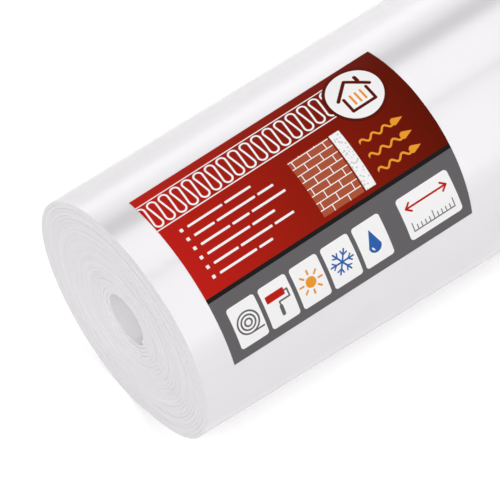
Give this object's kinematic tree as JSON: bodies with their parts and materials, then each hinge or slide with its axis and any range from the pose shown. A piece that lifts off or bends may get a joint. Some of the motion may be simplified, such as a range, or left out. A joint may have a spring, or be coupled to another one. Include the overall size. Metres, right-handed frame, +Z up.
{
  "type": "insulation roll",
  "caption": "Lying roll of white foamed wall-lining insulation sheet with an open bore and a paper label wrapped round its face, for insulating and lining walls.",
  "frame": {"origin": "midway along the roll, on the line where it touches the floor", "axes": "+X along the roll's axis, away from the end that the label is nearer to; +Z up; the label faces up and towards -Y"},
  "size_m": [0.5, 0.2, 0.2001],
  "materials": {
    "foam_sheet": "satin white foamed sheet",
    "printed_paper": "printed, semi-gloss"
  },
  "bodies": {
    "root": {"liner_roll": "foam_sheet", "label": "printed_paper"}
  },
  "joints": []
}
